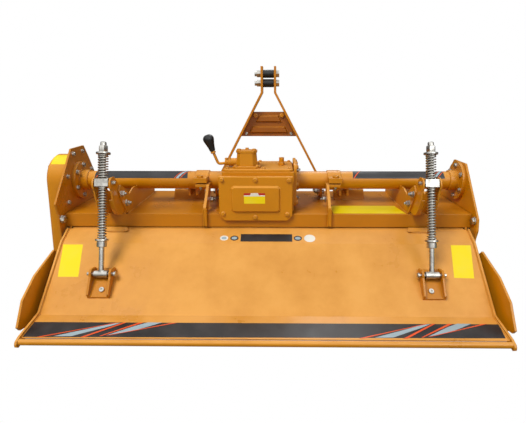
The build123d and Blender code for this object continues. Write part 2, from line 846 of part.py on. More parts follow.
with BuildPart() as hinge_lugs:
    for x in (-board_half + 4, board_half - 12):
        with BuildSketch(side_plane(x)):
            with Locations(at(hinge_y, hinge_z)):
                Circle(13)
            with Locations(at(hinge_y + 4, beam_low - 1)):
                Rectangle(26, 2)
            make_hull()
            with Locations(at(hinge_y, hinge_z)):
                Circle(hinge_rod_d / 2 + 0.3, mode=Mode.SUBTRACT)
        extrude(amount=8)
keep("hinge_lugs", hinge_lugs.part)

# ---------------------------------------------------------------- rotor
rotor_tube_d = 89
rotor_gap = 47  # rotor tube's end to the side plate
rotor_half = body_half - rotor_gap
ring_count = 7
end_ring = 77  # first ring's middle from the rotor tube's end
ring_pitch = 2 * (rotor_half - end_ring) / (ring_count - 1)
ring_r = 92
ring_t = 10
blade_t = 8
blade_reach = 100
blade_z = 236
with BuildPart() as blade:
    # L section across the axis, then the sickle outline in side view
    with BuildSketch(Plane.XZ):
        with BuildLine():
            Polyline((0, 56), (0, 208), (22, blade_z), (blade_reach, blade_z))
            offset(amount=blade_t, side=Side.RIGHT, kind=Kind.INTERSECTION)
        make_face()
    extrude(amount=76, both=True)
    with BuildSketch(Plane.YZ.offset(-5)):
        with BuildLine():
            Polyline(
                (26, 50),
                (26, 126),
                (18, 182),
                (-4, 246),
                (-66, 246),
                (-54, 206),
                (-26, 126),
                (-26, 50),
                close=True,
            )
        make_face()
    extrude(amount=blade_reach + 10, mode=Mode.INTERSECT)

with BuildPart() as rotor:
    with BuildSketch(side_plane(-rotor_half)):
        with Locations(at(0, -rotor_drop)):
            Circle(rotor_tube_d / 2)
    extrude(amount=2 * rotor_half)
    for i in range(ring_count):
        x = (i - (ring_count - 1) / 2) * ring_pitch
        with BuildSketch(side_plane(x - ring_t / 2)):
            with Locations(at(0, -rotor_drop)):
                RegularPolygon(ring_r, 12)
        extrude(amount=ring_t)
    for sign in (-1, 1):
        x = sign * (body_half + bearing_depth - 20 - 4)
        with BuildSketch(side_plane(sign * rotor_half)):
            with Locations(at(0, -rotor_drop)):
                Circle(stub_r)
        extrude(amount=x - sign * rotor_half)
        with BuildSketch(side_plane(sign * rotor_half)):
            with Locations(at(0, -rotor_drop)):
                RegularPolygon(70, 12)
        extrude(amount=-sign * 14)
    blades = []
    for i in range(ring_count):
        x = (i - (ring_count - 1) / 2) * ring_pitch
        for k in range(6):
            one = blade.part
            if k % 2:
                one = mirror(one, about=Plane.YZ, mode=Mode.PRIVATE)
            x0 = x + (ring_t / 2 if k % 2 == 0 else -ring_t / 2)
            turn = 60 * k + 17 * i
            blades.append(Location((x0, *at(0, -rotor_drop)), (turn, 0, 0)) * one)
    add(blades)
keep("rotor", rotor.part)

# ---------------------------------------------------------------- skids
runner_width = 50
skid_rear = [(-280, -236), (-432, -281), (-524, -335), (-577, -415), (-564, -432), (-540, -436)]
skid_ground = [(-330, -588), (-250, -tube_z), (250, -tube_z), (322, -590)]
skid_front = [(322, -590), (336, -520), (320, -330), (215, -300)]
skid_arc = [(190, -420), (0, -rotor_drop - 178), (-185, -420)]  # round the bearing's flange
skid_shoulder = (-215, -300)
for side, sign in (("left", -1), ("right", 1)):
    x0 = body_half + plate if sign > 0 else -body_half - 2 * plate
    with BuildPart() as skid:
        with BuildSketch(side_plane(x0)):
            with BuildLine():
                outline = skid_rear + [skid_ground[1], skid_ground[2]] + skid_front + skid_arc[:1]
                Polyline(*[at(*point) for point in outline])
                ThreePointArc(*[at(*point) for point in skid_arc])
                Polyline(*[at(*point) for point in skid_arc[2:] + [skid_shoulder] + skid_rear[:1]])
            make_face()
        extrude(amount=plate)
        # runner: a flat strip along the ground, turned out
        run_x = body_half + plate if sign > 0 else -body_half - plate - runner_width
        with BuildSketch(side_plane(run_x)):
            with BuildLine():
                Polyline(*[at(*point) for point in skid_ground])
                offset(amount=plate, side=Side.LEFT, kind=Kind.INTERSECTION)
            make_face()
        extrude(amount=runner_width)
    keep(f"skid_{side}", skid.part)

for piece in finished:
    export_step(piece, f"parts/{piece.label}.step")
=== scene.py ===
import json
import math

import bmesh
import bpy
from mathutils import Matrix, Vector, noise


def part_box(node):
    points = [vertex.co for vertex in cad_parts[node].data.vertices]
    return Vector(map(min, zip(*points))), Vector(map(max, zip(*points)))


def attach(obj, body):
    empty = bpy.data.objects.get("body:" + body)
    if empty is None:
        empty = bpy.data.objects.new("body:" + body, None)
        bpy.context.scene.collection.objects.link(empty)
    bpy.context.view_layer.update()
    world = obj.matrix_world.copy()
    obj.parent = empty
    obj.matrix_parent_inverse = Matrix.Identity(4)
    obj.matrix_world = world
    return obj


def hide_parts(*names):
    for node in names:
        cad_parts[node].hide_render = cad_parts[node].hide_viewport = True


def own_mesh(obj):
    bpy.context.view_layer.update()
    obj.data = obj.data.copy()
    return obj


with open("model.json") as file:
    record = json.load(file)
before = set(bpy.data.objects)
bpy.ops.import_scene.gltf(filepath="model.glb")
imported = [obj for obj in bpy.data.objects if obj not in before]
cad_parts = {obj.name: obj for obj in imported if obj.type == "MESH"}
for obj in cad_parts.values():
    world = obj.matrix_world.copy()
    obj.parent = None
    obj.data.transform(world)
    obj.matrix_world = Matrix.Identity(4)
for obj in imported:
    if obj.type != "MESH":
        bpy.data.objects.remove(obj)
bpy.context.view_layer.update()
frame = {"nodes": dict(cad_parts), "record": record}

print("frame loaded:", len(frame["nodes"]), "nodes")

mm = 0.001


def boxOf(node):
    low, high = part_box(node)
    return Vector(low), Vector(high)


def middleOf(node):
    low, high = boxOf(node)
    return (low + high) / 2


tube = middleOf("cross_tube_left")
tube.x = 0


def spot(x, y, z):
    # a place in mm: x from the machine's middle, y and z from the cross tube's axis
    return tube + Vector((x, y, z)) * mm


def hexToLinear(code):
    parts = [int(code[i:i + 2], 16) / 255 for i in (1, 3, 5)]
    linear = [p / 12.92 if p <= 0.04045 else ((p + 0.055) / 1.055) ** 2.4 for p in parts]
    return (*linear, 1)


def addNode(tree, kind, links=None, **settings):
    made = tree.nodes.new(kind)
    for name, value in settings.items():
        setattr(made, name, value)
    for socket, source in (links or {}).items():
        target = made.inputs[socket]
        if isinstance(source, bpy.types.NodeSocket):
            tree.links.new(source, target)
        else:
            target.default_value = source
    return made


def newMaterial(name):
    material = bpy.data.materials.new(name)
    material.use_nodes = True
    tree = material.node_tree
    tree.nodes.clear()
    shader = addNode(tree, "ShaderNodeBsdfPrincipled")
    addNode(tree, "ShaderNodeOutputMaterial", {"Surface": shader.outputs[0]})
    where = addNode(tree, "ShaderNodeTexCoord").outputs["Object"]
    return material, tree, shader, where


def blendColours(tree, amount, first, second):
    # colours are hex codes or the sockets that carry them
    mix = addNode(tree, "ShaderNodeMix", {0: amount}, data_type="RGBA")
    for slot, colour in ((6, first), (7, second)):
        if isinstance(colour, str):
            mix.inputs[slot].default_value = hexToLinear(colour)
        else:
            tree.links.new(colour, mix.inputs[slot])
    return mix.outputs[2]


def ramp(tree, value, fromMin, fromMax, toMin, toMax):
    inputs = {"Value": value, "From Min": fromMin, "From Max": fromMax,
              "To Min": toMin, "To Max": toMax}
    return addNode(tree, "ShaderNodeMapRange", inputs).outputs[0]


def speckle(tree, where, grains, detail, **settings):
    # noise with about that many grains to a metre
    inputs = {"Vector": where, "Scale": grains, "Detail": detail, **settings}
    return addNode(tree, "ShaderNodeTexNoise", inputs).outputs[0]


# dust patches and orange peel (coarser than real, so that it shows) to a metre, and the rubbed
# edge and the reach of the painted corner shade in mm
coatLook = {"patch": 5, "peel": 260, "edge": 2.8, "corner": 20}


def powderCoatedSteel(name, colour, dust, shade, roughness=0.3, bumpDepth=0.08, dustAndSheenShare=0.3):
    # oven-cured polyester powder: fine orange peel, soft gloss, thin dust and a painted sheen where
    # it faces up
    material, tree, shader, where = newMaterial(name)
    cloud = speckle(tree, where, coatLook["patch"], 6.0, Roughness=0.62)
    speck = speckle(tree, where, coatLook["peel"], 2.0)
    geometry = addNode(tree, "ShaderNodeNewGeometry")
    upward = addNode(tree, "ShaderNodeSeparateXYZ", {0: geometry.outputs["Normal"]}).outputs[2]
    # faces turned up are paled towards the dust colour: partly dust, partly painted sheen
    facingUp = ramp(tree, upward, 0.3, 0.75, 0.0, dustAndSheenShare)
    patch = ramp(tree, cloud, 0.35, 0.65, 0.45, 1.0)
    dustAndSheen = addNode(tree, "ShaderNodeMath", {0: facingUp, 1: patch}, operation="MULTIPLY")
    # paint gathers a deeper tone in some patches, and painted shade darkens it in corners
    deep = blendColours(tree, ramp(tree, cloud, 0.3, 0.6, 0.2, 0.0), colour, shade)
    # painted shade: corners found by ambient occlusion are blended towards the shade colour
    corner = addNode(tree, "ShaderNodeAmbientOcclusion", {"Distance": coatLook["corner"] * mm},
                     samples=4)
    paintedCornerShade = blendColours(tree, ramp(tree, corner.outputs["AO"], 0.2, 0.8, 0.5, 0.0), deep, shade)
    dustedAndSheened = blendColours(tree, dustAndSheen.outputs[0], paintedCornerShade, dust)
    # edges rubbed a little paler where the coat is thin
    rounded = addNode(tree, "ShaderNodeBevel", {"Radius": coatLook["edge"] * mm}, samples=6)
    facing = addNode(tree, "ShaderNodeVectorMath",
                     {0: rounded.outputs[0], 1: geometry.outputs["Normal"]}, operation="DOT_PRODUCT")
    edge = ramp(tree, facing.outputs["Value"], 0.97, 0.80, 0.0, 0.7)
    worn = addNode(tree, "ShaderNodeMath", {0: edge, 1: patch}, operation="MULTIPLY")
    tree.links.new(blendColours(tree, worn.outputs[0], dustedAndSheened, dust), shader.inputs["Base Color"])
    tree.links.new(ramp(tree, cloud, 0.3, 0.7, roughness - 0.06, roughness + 0.12),
                   shader.inputs["Roughness"])
    peel = addNode(tree, "ShaderNodeBump", {"Height": speck, "Distance": bumpDepth * mm,
                                            "Strength": 0.5, "Normal": rounded.outputs[0]})
    tree.links.new(peel.outputs[0], shader.inputs["Normal"])
    shader.inputs["IOR"].default_value = 1.5
    return material


def castIronPainted(name, colour, dust, shade):
    # the same colour sprayed over a sand casting, so a coarser, pebbled skin
    return powderCoatedSteel(name, colour, dust, shade, roughness=0.44, bumpDepth=0.6)


# bloom and grain to a metre, grain depth and edge in mm
zincLook = {"bloom": 60, "grain": 700, "grainDepth": 0.04, "edge": 0.7}


def zincPlated(name, colour="#c6c4bd", bloomColour="#8f8c85", roughness=0.3):
    # bright zinc on drawn steel: greyish mirror broken by a fine grain and dull bloom
    material, tree, shader, where = newMaterial(name)
    bloom = speckle(tree, where, zincLook["bloom"], 4.0)
    grain = speckle(tree, where, zincLook["grain"], 2.0)
    tree.links.new(blendColours(tree, ramp(tree, bloom, 0.35, 0.7, 0.0, 0.8), colour, bloomColour),
                   shader.inputs["Base Color"])
    tree.links.new(ramp(tree, bloom, 0.3, 0.7, roughness - 0.08, roughness + 0.12),
                   shader.inputs["Roughness"])
    rounded = addNode(tree, "ShaderNodeBevel", {"Radius": zincLook["edge"] * mm}, samples=4)
    skin = addNode(tree, "ShaderNodeBump", {"Height": grain, "Strength": 0.2,
                                            "Distance": zincLook["grainDepth"] * mm,
                                            "Normal": rounded.outputs[0]})
    tree.links.new(skin.outputs[0], shader.inputs["Normal"])
    shader.inputs["Metallic"].default_value = 1.0
    return material


# grain and handling marks to a metre, grain depth in mm
plasticLook = {"grain": 900, "grainDepth": 0.2, "handling": 30}


def mouldedPlastic(name, colour, roughness=0.36):
    # even colour with the fine matt grain of its mould, shinier where hands rub it
    material, tree, shader, where = newMaterial(name)
    grain = speckle(tree, where, plasticLook["grain"], 2.0)
    rubbed = speckle(tree, where, plasticLook["handling"], 3.0)
    tree.links.new(ramp(tree, rubbed, 0.3, 0.7, roughness - 0.08, roughness + 0.1),
                   shader.inputs["Roughness"])
    skin = addNode(tree, "ShaderNodeBump", {"Height": grain, "Strength": 0.4,
                                            "Distance": plasticLook["grainDepth"] * mm})
    tree.links.new(skin.outputs[0], shader.inputs["Normal"])
    shader.inputs["Base Color"].default_value = hexToLinear(colour)
    return material


vinylLook = {"patch": 14, "wrinkleDepth": 0.5}  # patches to a metre, depth in mm


def printedVinyl(name, colour, dust, roughness=0.34):
    # screen-printed self-adhesive film: flat colour, slight gloss, dusty in patches
    material, tree, shader, where = newMaterial(name)
    cloud = speckle(tree, where, vinylLook["patch"], 5.0)
    tree.links.new(blendColours(tree, ramp(tree, cloud, 0.42, 0.75, 0.0, 0.3), colour, dust),
                   shader.inputs["Base Color"])
    tree.links.new(ramp(tree, cloud, 0.3, 0.7, roughness - 0.06, roughness + 0.12),
                   shader.inputs["Roughness"])
    wrinkle = addNode(tree, "ShaderNodeBump", {"Height": cloud, "Strength": 0.25,
                                               "Distance": vinylLook["wrinkleDepth"] * mm})
    tree.links.new(wrinkle.outputs[0], shader.inputs["Normal"])
    return material


paint = {"colour": "#cb8304", "dust": "#f0b568", "shade": "#8f4d02"}
finish = {
    "sheetPaint": powderCoatedSteel("powderCoatedSheet", **paint),
    # much darker copy of the paint: painted shade for the mast plate
    "darkShadePaint": powderCoatedSteel("darkShadeCoatedSteel", "#985402", "#b87a34", "#5a2c02"),
    # darker copy of the paint: painted shade for parts that lie in shade
    "shadedPaint": powderCoatedSteel("shadedCoatedSteel", "#c27904", "#d69a44", "#7c4202",
                                   dustAndSheenShare=0.08),
    # paler copy of the paint: more dust, and painted sheen and light
    "dustAndSheenPaint": powderCoatedSteel("dustAndSheenCoatedSheet", **paint, dustAndSheenShare=0.5),
    "castPaint": castIronPainted("sprayedCasting", **paint),
    "zinc": zincPlated("brightZinc"),
    "turned": zincPlated("turnedSteel", "#a9a6a0", "#7d7972", 0.26),
    "oiled": zincPlated("oiledSteel", "#8b8780", "#5f5b55", 0.34),
    "blackPlastic": mouldedPlastic("blackPolypropylene", "#121212"),
    "blackFilm": printedVinyl("blackFilm", "#141416", "#4d4a4c"),
    "greyFilm": printedVinyl("greyFilm", "#9db1b8", "#7f8286"),
    "orangeFilm": printedVinyl("orangeFilm", "#e2501a", "#c9714a"),
    "yellowFilm": printedVinyl("yellowFilm", "#f0d800", "#e6d460"),
    "whiteFilm": printedVinyl("whiteFilm", "#e4e0d4", "#c9c2b0"),
    "redFilm": printedVinyl("redFilm", "#b8201a", "#a5483a"),
}
slotFinish = {"paint": "sheetPaint", "zinc": "zinc", "bright_steel": "turned",
              "black_plastic": "blackPlastic"}
# pieces whose finish differs from that of their slot
nodeFinish = {
    # painted shade: the mast plate is painted darker because it lies in shade
    "darkShadePaint": ("mast_plate",),
    # painted shade: the mast legs, left side plate, hood and clevises get the darker paint
    "shadedPaint": ("mast_leg_left", "mast_leg_right", "side_plate_left", "hood", "clevises"),
    # paled board and hitch brackets: partly dust, partly painted sheen on the board and painted light
    # on the brackets, which lie in the tube's shadow
    "dustAndSheenPaint": ("trailing_board", "hitch_bracket_left", "hitch_bracket_right"),
    "castPaint": ("gearbox_housing", "gearbox_lid", "gearbox_side_flange", "gearbox_rear_cover",
                  "shift_tower", "gear_case", "gear_case_lid", "bearing_cap"),
}
finishOf = {node: name for name, nodes in nodeFinish.items() for node in nodes}
slotOf = {part["node"]: part["material_slot"] for part in frame["record"]["subparts"]}
for nodeName in frame["nodes"]:
    chosen = finishOf.get(nodeName) or slotFinish[slotOf[nodeName]]
    mesh = bpy.data.objects[nodeName].data
    mesh.materials.clear()
    mesh.materials.append(finish[chosen])
print("finishes ready:", len(finish))


def frameAt(where, axis):
    # matrix at a place whose z runs along axis and whose x keeps close to the machine's x
    z = Vector(axis).normalized()
    x = Vector((1, 0, 0))
    if abs(z.dot(x)) > 0.9:
        x = Vector((0, 1, 0))
    y = z.cross(x).normalized()
    made = Matrix((y.cross(z), y, z)).transposed().to_4x4()
    made.translation = where
    return made


def lathe(bm, profile, matrix, sides=24):
    # turns (radius, height) points in mm about the matrix's z
    rings = []
    for radius, height in profile:
        angles = [0] if radius == 0 else [math.tau * k / sides for k in range(sides)]
        points = [Vector((radius * math.cos(a), radius * math.sin(a), height)) * mm for a in angles]
        rings.append([bm.verts.new(matrix @ point) for point in points])
    for low, high in zip(rings, rings[1:]):
        for k in range(sides):
            n = (k + 1) % sides
            corners = [low[k % len(low)], low[n % len(low)], high[n % len(high)], high[k % len(high)]]
            corners = list(dict.fromkeys(corners))
            if len(corners) > 2:
                bm.faces.new(corners)


def rod(bm, points, radius, sides=10):
    # a round bar along the points, in metres; radius in mm, or a list with one radius a point
    radii = radius if isinstance(radius, list) else [radius] * len(points)
    rings = []
    side = None
    for i, point in enumerate(points):
        ahead = (points[min(i + 1, len(points) - 1)] - points[max(i - 1, 0)]).normalized()
        if side is None:
            side = ahead.orthogonal().normalized()
        side = (side - ahead * side.dot(ahead)).normalized()
        other = ahead.cross(side)
        rings.append([bm.verts.new(point + (side * math.cos(a) + other * math.sin(a)) * radii[i] * mm)
                      for a in (math.tau * k / sides for k in range(sides))])
    for low, high in zip(rings, rings[1:]):
        for k in range(sides):
            n = (k + 1) % sides
            bm.faces.new((low[k], low[n], high[n], high[k]))
    bm.faces.new(list(reversed(rings[0])))
    bm.faces.new(rings[-1])


def slab(bm, corners, matrix, thick, lift=0.0):
    # a flat plate from its outline (x, y) in mm on the matrix's plane
    low = [bm.verts.new(matrix @ (Vector((x, y, lift)) * mm)) for x, y in corners]
    high = [bm.verts.new(matrix @ (Vector((x, y, lift + thick)) * mm)) for x, y in corners]
    bm.faces.new(list(reversed(low)))
    bm.faces.new(high)
    for k in range(len(corners)):
        n = (k + 1) % len(corners)
        bm.faces.new((low[k], low[n], high[n], high[k]))


def addPiece(name, bm, finishName, body="frame", creaseDegrees=32):
    bmesh.ops.remove_doubles(bm, verts=bm.verts, dist=1e-7)
    bmesh.ops.recalc_face_normals(bm, faces=bm.faces)
    mesh = bpy.data.meshes.new(name)
    bm.to_mesh(mesh)
    bm.free()
    mesh.shade_smooth()
    mesh.set_sharp_from_angle(angle=math.radians(creaseDegrees))
    mesh.materials.append(finish[finishName])
    made = bpy.data.objects.new(name, mesh)
    bpy.context.scene.collection.objects.link(made)
    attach(made, body)
    return made


def thread(bm, matrix, start, length, size):
    # rolled thread with a bevelled end; size is its outside diameter
    pitch = 1.75 if size < 16 else 2.5
    outer, root = size / 2, size / 2 - pitch * 0.6
    profile = [(0, start), (root, start)]
    for k in range(max(1, int((length - 1.5) / pitch))):
        profile += [(outer, start + (k + 0.35) * pitch), (outer, start + (k + 0.55) * pitch),
                    (root, start + (k + 0.95) * pitch)]
    profile += [(root - 0.6, start + length), (0, start + length)]
    lathe(bm, profile, matrix, 16)


def hexagon(bm, matrix, start, height, size, chamfered="both"):
    corner = size * 0.93
    profile = [(0, start), (corner * 0.88, start), (corner, start + height * 0.12),
               (corner, start + height * 0.86), (corner * 0.88, start + height), (0, start + height)]
    if chamfered == "top":
        profile[1:3] = [(corner, start)]
    lathe(bm, profile, matrix, 6)


def washer(bm, matrix, start, size):
    wide, tall = size * 1.04, size * 0.18
    top = start + tall
    lathe(bm, [(0, start), (wide, start), (wide, start + tall * 0.7), (wide - 0.5, top), (0, top)],
          matrix, 24)
    return top


def headFastener(bm, matrix, size, turn):
    # washer and forged hexagon head with its dished top
    matrix = matrix @ Matrix.Rotation(turn, 4, "Z")
    base = washer(bm, matrix, 0, size)
    hexagon(bm, matrix, base, size * 0.6, size, "top")
    top = base + size * 0.6
    lathe(bm, [(size * 0.62, top - 0.2), (size * 0.6, top + 0.5), (size * 0.45, top + 0.1),
               (0, top + 0.1)], matrix, 18)


def nutFastener(bm, matrix, size, turn, stick=9):
    # washer, nut and the bolt's thread standing out of it
    matrix = matrix @ Matrix.Rotation(turn, 4, "Z")
    base = washer(bm, matrix, 0, size)
    hexagon(bm, matrix, base, size * 0.82, size)
    thread(bm, matrix, base + size * 0.82 - 1, stick, size)


def buttonFastener(bm, matrix, size, turn):
    # low domed head
    lathe(bm, [(0, 0), (size * 0.9, 0), (size * 0.85, size * 0.1), (size * 0.6, size * 0.24),
               (0, size * 0.3)], matrix, 20)


def socketFastener(bm, matrix, size, turn):
    # round cap head with a deep socket
    lathe(bm, [(0, 0), (size, 0), (size, size * 0.55), (size * 0.92, size * 0.65),
               (size * 0.42, size * 0.65), (size * 0.4, size * 0.1), (0, size * 0.1)], matrix, 24)


makers = {"head": headFastener, "nut": nutFastener, "button": buttonFastener,
          "socket": socketFastener}


def ringOf(x, y, z, radius, count, start):
    # places round an axis along x
    angles = [math.radians(start + 360 * k / count) for k in range(count)]
    return [(x, y + radius * math.cos(a), z + radius * math.sin(a)) for a in angles]


towards = {"+x": (1, 0, 0), "-x": (-1, 0, 0), "-y": (0, -1, 0), "+z": (0, 0, 1), "-z": (0, 0, -1)}
# name: finish, kind of fastener, bolt size, which way it points,
# and its places (x, y, z) in mm from the cross tube's axis
fasteners = {
    "tubeFlangeBoltsLeft": ("zinc", "head", 11, "+x", ringOf(-848, 0, 0, 68, 6, 20)),
    "tubeFlangeBoltsRight": ("zinc", "head", 11, "-x", ringOf(848, 0, 0, 68, 6, 28)),
    "gearCaseBolts": ("zinc", "head", 10, "+x", [
        (-862, -40, 124), (-862, 47, 125), (-862, -112, 35), (-862, -130, -75), (-862, 118, 30),
        (-862, 150, -40)]),
    "gearCaseLowBolts": ("zinc", "nut", 10, "+x", [
        (-862, 120, -330), (-862, -105, -310), (-862, 135, -430), (-862, -110, -455)]),
    "beamEndBoltLeft": ("zinc", "head", 17, "+x", [(-862, -203, -128)]),
    "beamEndBoltRight": ("zinc", "head", 17, "-x", [(862, -203, -131)]),
    "hingeRodNut": ("turned", "nut", 14, "-x", [(-870, -172, -182)]),
    "saddleBolts": ("sheetPaint", "socket", 14, "+z", [(-298, -72, 26), (298, -72, 26)]),
    "saddleNuts": ("zinc", "nut", 10, "-z", [(-296, -72, -14), (296, -72, -14)]),
    "hangerNutsLeft": ("zinc", "nut", 14, "+x", [(-256, -72, -72)]),
    "hangerNutsRight": ("zinc", "nut", 14, "-x", [(256, -72, -72)]),
    "hangerHeadsLeft": ("sheetPaint", "head", 14, "-x", [(-268, -72, -72)]),
    "hangerHeadsRight": ("sheetPaint", "head", 14, "+x", [(268, -72, -72)]),
    "gussetNutsLeft": ("zinc", "nut", 13, "+x", [(-594, -222, -13), (-594, -176, -63)]),
    "gussetNutsRight": ("zinc", "nut", 13, "-x", [(594, -222, -13), (594, -176, -63)]),
    "gussetHeadsLeft": ("zinc", "head", 13, "-x", [(-678, -222, -13), (-678, -176, -63)]),
    "gussetHeadsRight": ("zinc", "head", 13, "+x", [(678, -222, -13), (678, -176, -63)]),
    "blockPinsLeft": ("zinc", "head", 8, "+x", [(-600, -271, 43)]),
    "blockPinsRight": ("zinc", "head", 8, "-x", [(600, -271, 43)]),
    "blockPinsOuterLeft": ("zinc", "head", 8, "-x", [(-672, -271, 43)]),
    "blockPinsOuterRight": ("zinc", "head", 8, "+x", [(672, -271, 43)]),
    "coverBolts": ("castPaint", "head", 9.5, "-y", [
        (-186, -195, 40), (-48, -195, 40), (90, -195, 38), (-184, -195, -104), (-50, -195, -119),
        (84, -195, -106)]),
    "sideFlangeBolts": ("castPaint", "head", 10, "+x", [
        (124, y, z) for y, z in ((-122, 80), (-122, -72), (60, -72), (60, 76), (-35, 83), (-35, -80),
                                 (-122, 4))]),
    "sideFlangeStuds": ("zinc", "nut", 11, "+x", [(124, -75, 62), (124, 10, -84)]),
    "lidScrews": ("castPaint", "head", 8, "+z", [
        (-168, -138, 77), (-15, -138, 77), (94, -138, 77), (-168, 46, 77), (-38, 46, 77),
        (94, 46, 77)]),
    "towerFootScrews": ("castPaint", "head", 8, "+z", [
        (-134, -132, 85), (-42, -132, 85), (-134, -66, 85), (-42, -66, 85)]),
    "towerCapScrews": ("castPaint", "head", 9, "+z", [
        (-120, -112, 150), (-56, -112, 150), (-88, -80, 150)]),
    "mastPlateBolts": ("sheetPaint", "head", 11, "-y", [(-62, 126, 282), (62, 126, 282)]),
    "mastPlateNuts": ("zinc", "head", 7, "-y", [(-106, 126, 198), (106, 126, 198)]),
    "hitchFootBolts": ("zinc", "head", 13, "+z", [
        (sign * x, 111, -66) for sign in (-1, 1) for x in (394, 438)]),
    "mastFootNutsLeft": ("zinc", "nut", 14, "+x", [(-237, 104, -76), (-237, 136, -76)]),
    "mastFootNutsRight": ("zinc", "nut", 14, "-x", [(237, 104, -76), (237, 136, -76)]),
    "mastFootHeadsLeft": ("zinc", "head", 14, "-x", [(-257, 104, -76), (-257, 136, -76)]),
    "mastFootHeadsRight": ("zinc", "head", 14, "+x", [(257, 104, -76), (257, 136, -76)]),
    "gearCaseLidBolts": ("castPaint", "button", 10, "-x", [
        (-960, y, z) for y, z in ((0, 98), (-70, 70), (70, 70), (-98, -20), (98, -20), (-108, -140),
                                  (108, -140), (-118, -260), (118, -260), (-124, -400), (124, -400),
                                  (-78, -486), (78, -486), (0, -512))]),
    "bearingCapBolts": ("zinc", "head", 12, "+x", ringOf(884, 0, -385, 73, 6, 0)),
    "skidBoltsLeft": ("zinc", "head", 14, "-x", [
        (-878, 200, -320), (-878, -222, -320), (-878, 240, -440), (-878, -240, -440)]),
    "skidBoltsRight": ("zinc", "head", 14, "+x", [
        (878, 200, -320), (878, -222, -320), (878, 240, -440), (878, -240, -440)]),
}
for name, (finishName, kind, size, way, places) in fasteners.items():
    bm = bmesh.new()
    for k, place in enumerate(places):
        makers[kind](bm, frameAt(spot(*place), towards[way]), size, 0.7 * k + 0.2)
    addPiece(name, bm, finishName)
print("fasteners ready:", len(fasteners))

# in mm and degrees; headOut and nutOut are from the middle of a flange ring
rotorLook = {"rings": 7, "pitch": 246, "blades": 6, "stagger": 17, "boltRadius": 74, "boltSize": 13,
             "boltSpread": 13, "headOut": 13, "nutOut": 5, "threadOut": 6}


def rotorBolts():
    # two bolts through each blade's foot, the head on the blade's side of the ring
    axis = middleOf("rotor")
    rings, blades, size = rotorLook["rings"], rotorLook["blades"], rotorLook["boltSize"]
    bm = bmesh.new()
    for i in range(rings):
        x = (i - (rings - 1) / 2) * rotorLook["pitch"]
        for k in range(blades):
            side = 1 if k % 2 == 0 else -1
            turn = math.radians(360 / blades * k + rotorLook["stagger"] * i)
            for spread in (-rotorLook["boltSpread"], rotorLook["boltSpread"]):
                flat = Vector((0, spread, rotorLook["boltRadius"])) * mm
                flat.rotate(Matrix.Rotation(turn, 3, "X"))
                on = Vector((0, axis.y, axis.z)) + flat
                head = on + Vector((x + side * rotorLook["headOut"], 0, 0)) * mm
                nut = on + Vector((x - side * rotorLook["nutOut"], 0, 0)) * mm
                headFastener(bm, frameAt(head, (side, 0, 0)), size, turn)
                nutFastener(bm, frameAt(nut, (-side, 0, 0)), size, turn, rotorLook["threadOut"])
    addPiece("rotorBolts", bm, "zinc", "rotor")


rotorBolts()
print("rotor bolts ready")

# in mm; keepShare is how much of its length the lower spring keeps with the board lifted
springLook = {"wire": 5.7, "steps": 20, "lowerTurns": 20, "lowerWide": 35, "upperTurns": 10,
              "upperWide": 40, "lowerLength": 203, "upperLength": 97, "keepShare": 0.575}
# in mm; heights run up the rod from the swivel block's middle
rodLook = {"x": 636, "wide": 20, "blockLow": -15, "blockHigh": 15, "nutSize": 19, "nutTall": 27,
           "studWide": 23, "top": 49}
eyeLook = {"place": (-393, -290), "bore": 20.6, "wide": 28, "long": 52, "weldRing": 21, "weldWide": 4,
           "headIn": 54, "ringOut": 44}


def coil(bm, matrix, start, length, wide, turns):
    # closed and ground at both ends
    wire = springLook["wire"]
    steps = springLook["steps"]
    radius = (wide - wire) / 2
    count = int(turns * steps)
    pitch = (length - 3 * wire) / (turns - 2)
    points = []
    for i in range(count + 1):
        along = i / steps
        lead = min(along, 1)
        tail = max(0, along - (turns - 1))
        height = wire / 2 + lead * wire + max(0, min(along, turns - 1) - 1) * pitch + tail * wire
        angle = math.tau * along
        flat = Vector((radius * math.cos(angle), radius * math.sin(angle), start + height))
        points.append(matrix @ (flat * mm))
    rod(bm, points, wire / 2, 8)


joints = {joint["name"]: joint for joint in frame["record"]["behaviour"]["joints"]}
eyes = middleOf("eye_pins")


